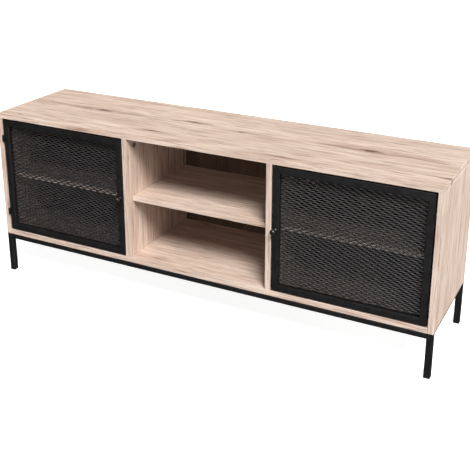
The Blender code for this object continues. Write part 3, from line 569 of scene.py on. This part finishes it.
def make_bottom_joints():
    """Cams, bolts and dowels at the bottom panel's ends, and what holds the dividers' feet."""
    middle_z = UNDERSIDE + BOARD / 2
    for side, sign in SIDES.items():
        for row, y, dowel_y in zip(("front", "back"), FIXING_ROWS, DOWEL_ROWS):
            label = f"{side}_bottom_{row}"
            cam(f"{label}_cam", (sign * (SIDE_FACE - CAM_SETBACK), y, UNDERSIDE), (0, 0, -1))
            bolt(f"{label}_bolt", (sign * SIDE_FACE, y, middle_z), (sign, 0, 0))
            dowel(f"{label}_dowel", (sign * SIDE_FACE, dowel_y, middle_z), (sign, 0, 0))
            profile, angles = crossed([(0, 0.0050), (0.0032, 0.0020), (0.0350, 0.0018),
                                       (0.0392, 0.0004)], 0.0026, 0.0006, 0.0018)
            solid(f"{side}_foot_{row}_screw",
                  turned(profile, (sign * DIVIDER_X, y, UNDERSIDE + CLEAR), (0, 0, 1), angles),
                  "carcass", ZINC)
        dowel(f"{side}_foot_dowel", (sign * DIVIDER_X, (FRONT + BACK) / 2, FLOOR_OF_BAY),
              (0, 0, -1))


def make_shelf_pins():
    """Steel pins under the shelves behind the doors."""
    low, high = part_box("middle_shelf_front_left_pin")
    radius, half, height = (high.z - low.z) / 2, (high.x - low.x) / 2, (low.z + high.z) / 2
    ease = SHELF_PIN_EASE
    profile = [(-half, radius - ease), (ease - half, radius), (half - ease, radius),
               (half, radius - ease)]
    for side, sign in SIDES.items():
        for wall, face, into in (("side", SIDE_FACE, 1), ("divider", BAY_FACE, -1)):
            for row, y in zip(("front", "back"), SHELF_PIN_ROWS):
                middle = (sign * (face + into * (SHELF_PIN_SUNK - half)), y, height)
                solid(f"{side}_shelf_{wall}_{row}_pin",
                      turned(profile, middle, (1, 0, 0), circle_angles(20)), "carcass", STEEL)


def make_nails():
    """Panel pins through the back panel, heads flush with its outer face."""
    heights = [UNDERSIDE + (TOP_HIGH.z - UNDERSIDE) * share for share in (0.25, 0.50, 0.75)]
    spots = [(x, z) for x in (-BAY_PITCH, 0, BAY_PITCH)
             for z in (TOP_HIGH.z - BOARD / 2, UNDERSIDE + BOARD / 2)]
    spots += [(sign * x, z) for sign in (-1, 1) for x in (SIDE_FACE + BOARD / 2, DIVIDER_X)
              for z in heights]
    profile = [(0.0001, 0.0007), (0.0002, 0.0010), (0.0010, 0.0010), (0.0012, 0.0008),
               (0.0140, 0.0008), (0.0158, 0.0002)]
    for number, (x, z) in enumerate(spots, 1):
        solid(f"back_nail_{number:02d}", turned(profile, (x, BACK_FACE, z), (0, -1, 0),
                                                circle_angles(12)), "carcass", STEEL)


def make_hinge_screws():
    """Two low-headed screws through each cabinet leaf into the side panel."""
    for side, sign in SIDES.items():
        for level in ("lower", "upper"):
            low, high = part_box(f"{side}_{level}_cabinet_leaf")
            face = SIDE_FACE - CLEAR - HINGE_LEAF
            for number, way in enumerate((-1, 1), 1):
                start = (sign * (face - 0.0005), HINGE_SCREW_Y,
                         (low.z + high.z) / 2 + way * HINGE_SCREW_STEP)
                profile, angles = crossed([(0, 0.0016), (0.0003, 0.0021), (0.0005, 0.0021),
                                           (0.0006, 0.0012), (0.0090, 0.0010), (0.0110, 0.0002)],
                                          0.0011, 0.0003, 0.0004)
                solid(f"{side}_{level}_hinge_screw_{number}",
                      turned(profile, start, (sign, 0, 0), angles), "carcass", ZINC)


def make_rail_screws():
    """Screws from inside the front and back rails up into the bottom panel."""
    for row in ("front", "back"):
        low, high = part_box(f"{row}_rail")
        for number, x in enumerate(RAIL_SCREWS_X, 1):
            start = (x, (low.y + high.y) / 2, high.z - RAIL_WALL_SEAT)
            profile, angles = crossed([(0, 0.0026), (0.0010, 0.0038), (0.0027, 0.0040),
                                       (0.0027, 0.0018), (0.0120, 0.0017), (0.0152, 0.0003)],
                                      0.0020, 0.0005, 0.0012)
            solid(f"{row}_rail_screw_{number}", turned(profile, start, (0, 0, 1), angles),
                  "carcass", ZINC)


# ---------------------------------------------------------------- studio
CAMERA_AT = (1.1396, -2.1243, 1.2855)
CAMERA_YAW, CAMERA_PITCH, CAMERA_ROLL = (math.radians(a) for a in (26.855, -18.594, 0.209))
LENS, SENSOR = 66.47, 36.0     # millimetres
LENS_SHIFT = (-0.01064, -0.18085)
WORLD_STRENGTH = 0.08

# Each light: azimuth, elevation, spread, strength, colour
LIGHTS = {"key": (41, 49, 22, 4.6, (1.0, 0.985, 0.965)), "front_fill": (5, 4, 16, 1.25),
          "side_fill": (82, 8, 30, 1.6), "back_fill": (160, 5, 30, 1.5),
          "left_fill": (258, 5, 30, 1.1)}


def make_camera():
    """The camera: yaw turns it left from +Y, pitch tips it, roll turns it about its view."""
    ahead = Vector((-math.sin(CAMERA_YAW) * math.cos(CAMERA_PITCH),
                    math.cos(CAMERA_YAW) * math.cos(CAMERA_PITCH), math.sin(CAMERA_PITCH)))
    right = ahead.cross(Vector((0, 0, 1))).normalized()
    up = right.cross(ahead)
    turn = Matrix.Rotation(CAMERA_ROLL, 3, ahead)
    right, up = turn.transposed() @ right, turn.transposed() @ up
    camera = bpy.data.objects.new("camera", bpy.data.cameras.new("camera"))
    camera.matrix_world = Matrix.Translation(CAMERA_AT) @ Matrix(
        (right, up, -ahead)).transposed().to_4x4()
    camera.data.lens = LENS
    camera.data.sensor_width = SENSOR
    camera.data.shift_x, camera.data.shift_y = LENS_SHIFT
    bpy.context.scene.collection.objects.link(camera)
    bpy.context.scene.camera = camera


def soft_light(name, azimuth, elevation, spread, strength, colour=(1, 1, 1)):
    """Far, soft light. Azimuth 0 comes from the front, 90 from the right; angles in degrees."""
    a, e = math.radians(azimuth), math.radians(elevation)
    towards = Vector((math.sin(a) * math.cos(e), -math.cos(a) * math.cos(e), math.sin(e)))
    data = bpy.data.lights.new(name, "SUN")
    data.angle, data.energy, data.color = math.radians(spread), strength, colour
    light = bpy.data.objects.new(name, data)
    light.rotation_euler = towards.to_track_quat("Z", "Y").to_euler()
    bpy.context.scene.collection.objects.link(light)


def make_studio():
    """A wide pale floor, a white surround and five soft lights."""
    reach = 40.0
    mesh = bpy.data.meshes.new("floor")
    mesh.from_pydata([(-reach, -reach, 0), (reach, -reach, 0), (reach, reach, 0),
                      (-reach, reach, 0)], [], [(0, 1, 2, 3)])
    mesh.materials.append(pale_floor())
    floor = bpy.data.objects.new("floor", mesh)
    bpy.context.scene.collection.objects.link(floor)
    floor.visible_diffuse = floor.visible_glossy = False
    world = bpy.data.worlds.new("surround")
    world.use_nodes = True
    surround = world.node_tree.nodes["Background"].inputs
    surround["Color"].default_value = (1.0, 1.0, 1.0, 1)
    surround["Strength"].default_value = WORLD_STRENGTH
    bpy.context.scene.world = world
    for name, light in LIGHTS.items():
        soft_light(name, *light)
    bpy.context.scene.view_settings.view_transform = "Standard"


finish_cad_nodes()
make_door_meshes()
make_catches()
make_upright_joints()
make_bottom_joints()
make_shelf_pins()
make_nails()
make_hinge_screws()
make_rail_screws()
make_camera()
make_studio()
